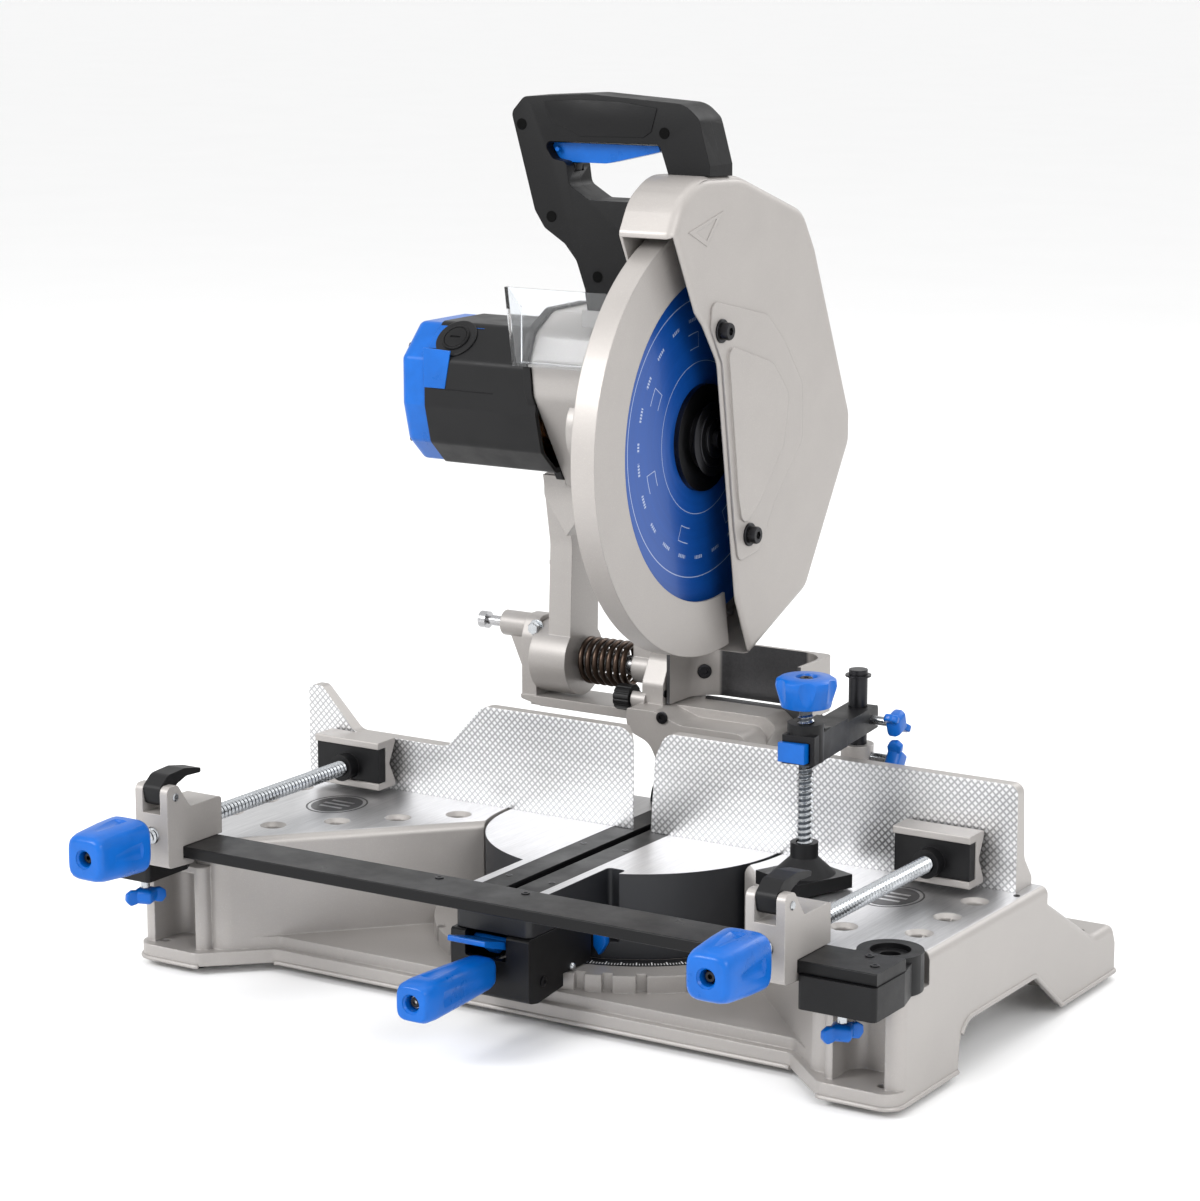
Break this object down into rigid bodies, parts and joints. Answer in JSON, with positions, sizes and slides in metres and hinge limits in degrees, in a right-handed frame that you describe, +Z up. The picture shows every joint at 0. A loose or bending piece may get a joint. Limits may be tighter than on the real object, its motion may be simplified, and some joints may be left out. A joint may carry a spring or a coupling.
{
  "type": "mitre saw",
  "caption": "Bench-top mitre saw on a cast base: swivelling slotted table, split fence, front rail with screw vices, hold-down clamp, and a spring-lifted tilting saw head with guarded blade",
  "frame": {"origin": "floor level under the middle of the overall box, which is 36.5 mm in front of the fence face on the saw-cut line", "axes": "+X right along the fence, +Y away from the user, +Z up"},
  "size_m": [0.758, 0.711, 0.7469],
  "materials": {
    "cast_aluminium": "satin",
    "black_plastic": "matt",
    "blue_plastic": "semi gloss",
    "steel": "brushed",
    "zinc": "plated",
    "blade_paint": "gloss",
    "guard_sheet": "satin",
    "rubber": "matt",
    "spring_steel": "oiled",
    "copper": "lacquered",
    "clear_sheet": "clear"
  },
  "bodies": {
    "base": {"base_casting": "cast_aluminium", "rubber_feet": "rubber", "fence_left": "cast_aluminium", "fence_right": "cast_aluminium", "front_rail": "black_plastic", "rail_brackets": "black_plastic", "pivot_bolt": "steel"},
    "rail_wing_l": {"rail_wing_left": "blue_plastic"},
    "rail_wing_r": {"rail_wing_right": "blue_plastic"},
    "turntable": {"turntable": "cast_aluminium", "kerf_inserts": "black_plastic", "arm_housing": "black_plastic", "bevel_shaft": "steel"},
    "mitre_screw": {"mitre_grip": "blue_plastic", "mitre_lock_rod": "steel"},
    "paddle": {"mitre_paddle": "blue_plastic"},
    "yoke": {"yoke_casting": "cast_aluminium", "chip_scoop": "black_plastic", "torsion_spring": "spring_steel", "pivot_shaft": "steel"},
    "bevel_lock": {"bevel_lever": "black_plastic"},
    "stop_knob": {"depth_stop_knob": "black_plastic"},
    "pin": {"lock_pin": "steel"},
    "head": {"gear_housing": "cast_aluminium", "motor_housing": "black_plastic", "motor_end_cap": "blue_plastic", "stator": "copper", "upper_guard": "cast_aluminium", "access_plate": "black_plastic", "chip_shield": "clear_sheet", "handle_front": "black_plastic", "handle_rear": "black_plastic"},
    "rotor": {"armature": "steel"},
    "blade": {"spindle": "steel", "saw_blade": "blade_paint", "inner_flange": "steel", "outer_flange": "zinc", "arbor_bolt": "zinc"},
    "guard": {"lower_guard": "guard_sheet"},
    "trigger": {"trigger": "blue_plastic"},
    "vice_left": {"vice_body_left": "cast_aluminium"},
    "vice_cam_left": {"vice_lever_left": "black_plastic"},
    "vice_feed_left": {"vice_jaw_left": "cast_aluminium", "vice_insert_left": "black_plastic"},
    "vice_spin_left": {"vice_screw_left": "zinc", "vice_knob_left": "blue_plastic"},
    "vice_right": {"vice_body_right": "cast_aluminium"},
    "vice_cam_right": {"vice_lever_right": "black_plastic"},
    "vice_feed_right": {"vice_jaw_right": "cast_aluminium", "vice_insert_right": "black_plastic"},
    "vice_spin_right": {"vice_screw_right": "zinc", "vice_knob_right": "blue_plastic"},
    "post": {"clamp_post": "zinc"},
    "clamp": {"clamp_arm": "black_plastic"},
    "clamp_button": {"clamp_button": "blue_plastic"},
    "clamp_feed": {"clamp_foot": "black_plastic"},
    "clamp_spin": {"clamp_screw": "zinc", "clamp_knob": "blue_plastic"},
    "arm_knob": {"clamp_arm_knob": "blue_plastic"},
    "post_knob": {"clamp_post_knob": "blue_plastic"}
  },
  "joints": [
    {"name": "mitre_swivel", "type": "hinge", "parent": "base", "child": "turntable", "pos_m": [0, 0.0365, 0.06], "axis": [0, 0, -1], "range_deg": [-45, 45]},
    {"name": "bevel_tilt", "type": "hinge", "parent": "turntable", "child": "yoke", "pos_m": [0, 0.1565, 0.119], "axis": [0, -1, 0], "range_deg": [0, 45]},
    {"name": "head_chop", "type": "hinge", "parent": "yoke", "child": "head", "pos_m": [-0.14, 0.2065, 0.22], "axis": [-1, 0, 0], "range_deg": [-62, 0], "stiffness_Nm_per_rad": 14, "springref_deg": 108.86},
    {"name": "guard_swing", "type": "hinge", "parent": "head", "child": "guard", "pos_m": [0, 0.134, 0.4515], "axis": [1, 0, 0], "range_deg": [-139, 0]},
    {"name": "blade_spin", "type": "hinge", "parent": "head", "child": "blade", "pos_m": [0, 0.134, 0.4515], "axis": [1, 0, 0], "continuous": true},
    {"name": "rotor_spin", "type": "hinge", "parent": "head", "child": "rotor", "pos_m": [-0.2, 0.1665, 0.47], "axis": [1, 0, 0], "continuous": true},
    {"name": "trigger_pull", "type": "hinge", "parent": "head", "child": "trigger", "pos_m": [-0.128, 0.1155, 0.698], "axis": [0, -1, 0], "range_deg": [0, 7], "stiffness_Nm_per_rad": 0.3, "springref_deg": -28.65},
    {"name": "head_lock", "type": "slide", "parent": "yoke", "child": "pin", "axis": [-1, 0, 0], "range_m": [-0.016, 0]},
    {"name": "bevel_lock_turn", "type": "hinge", "parent": "yoke", "child": "bevel_lock", "pos_m": [0, 0.2515, 0.119], "axis": [0, 1, 0], "range_deg": [-30, 20]},
    {"name": "stop_turn", "type": "hinge", "parent": "yoke", "child": "stop_knob", "pos_m": [-0.102, 0.1785, 0.197], "axis": [1, 0, 0], "continuous": true},
    {"name": "grip_turn", "type": "hinge", "parent": "turntable", "child": "mitre_screw", "pos_m": [0, -0.2635, 0.059], "axis": [0, 1, 0], "continuous": true},
    {"name": "paddle_press", "type": "hinge", "parent": "turntable", "child": "paddle", "pos_m": [0, -0.1865, 0.078], "axis": [1, 0, 0], "range_deg": [0, 10], "stiffness_Nm_per_rad": 0.3, "springref_deg": -22.92},
    {"name": "rail_wing_turn_l", "type": "hinge", "parent": "base", "child": "rail_wing_l", "pos_m": [-0.338, -0.2255, 0.09], "axis": [0, 0, 1], "continuous": true},
    {"name": "rail_wing_turn_r", "type": "hinge", "parent": "base", "child": "rail_wing_r", "pos_m": [0.338, -0.2255, 0.09], "axis": [0, 0, 1], "continuous": true},
    {"name": "vice_travel_left", "type": "slide", "parent": "base", "child": "vice_left", "axis": [1, 0, 0], "range_m": [0, 0.15]},
    {"name": "vice_release_left", "type": "hinge", "parent": "vice_left", "child": "vice_cam_left", "pos_m": [-0.294, -0.2565, 0.176], "axis": [1, 0, 0], "range_deg": [0, 50]},
    {"name": "vice_feed_left", "type": "slide", "parent": "vice_left", "child": "vice_feed_left", "axis": [0, -1, 0], "range_m": [0, 0.12]},
    {"name": "vice_screw_turn_left", "type": "hinge", "parent": "vice_feed_left", "child": "vice_spin_left", "pos_m": [-0.294, -0.2635, 0.143], "axis": [0, 1, 0], "continuous": true},
    {"name": "vice_travel_right", "type": "slide", "parent": "base", "child": "vice_right", "axis": [1, 0, 0], "range_m": [-0.03, 0]},
    {"name": "vice_release_right", "type": "hinge", "parent": "vice_right", "child": "vice_cam_right", "pos_m": [0.294, -0.2565, 0.176], "axis": [1, 0, 0], "range_deg": [0, 50]},
    {"name": "vice_feed_right", "type": "slide", "parent": "vice_right", "child": "vice_feed_right", "axis": [0, -1, 0], "range_m": [0, 0.12]},
    {"name": "vice_screw_turn_right", "type": "hinge", "parent": "vice_feed_right", "child": "vice_spin_right", "pos_m": [0.294, -0.2635, 0.143], "axis": [0, 1, 0], "continuous": true},
    {"name": "clamp_swing", "type": "hinge", "parent": "post", "child": "clamp", "pos_m": [0.189, 0.0765, 0.24], "axis": [0, 0, -1], "range_deg": [-6, 40]},
    {"name": "post_height", "type": "slide", "parent": "base", "child": "post", "axis": [0, 0, 1], "range_m": [0, 0.012]},
    {"name": "clamp_feed_up", "type": "slide", "parent": "clamp", "child": "clamp_feed", "axis": [0, 0, 1], "range_m": [0, 0.06]},
    {"name": "clamp_screw_turn", "type": "hinge", "parent": "clamp_feed", "child": "clamp_spin", "pos_m": [0.203, -0.0405, 0.2], "axis": [0, 0, 1], "continuous": true},
    {"name": "clamp_release", "type": "slide", "parent": "clamp", "child": "clamp_button", "axis": [0, 1, 0], "range_m": [0, 0.003], "stiffness_N_per_m": 300, "springref_m": -0.004},
    {"name": "arm_knob_turn", "type": "hinge", "parent": "clamp", "child": "arm_knob", "pos_m": [0.218, 0.0765, 0.236], "axis": [1, 0, 0], "continuous": true},
    {"name": "post_knob_turn", "type": "hinge", "parent": "base", "child": "post_knob", "pos_m": [0.218, 0.0765, 0.204], "axis": [1, 0, 0], "continuous": true}
  ],
  "couplings": [
    {"joint": "guard_swing", "follows": "head_chop", "ratio": 2.2419},
    {"joint": "rotor_spin", "follows": "blade_spin", "ratio": -4}
  ]
}
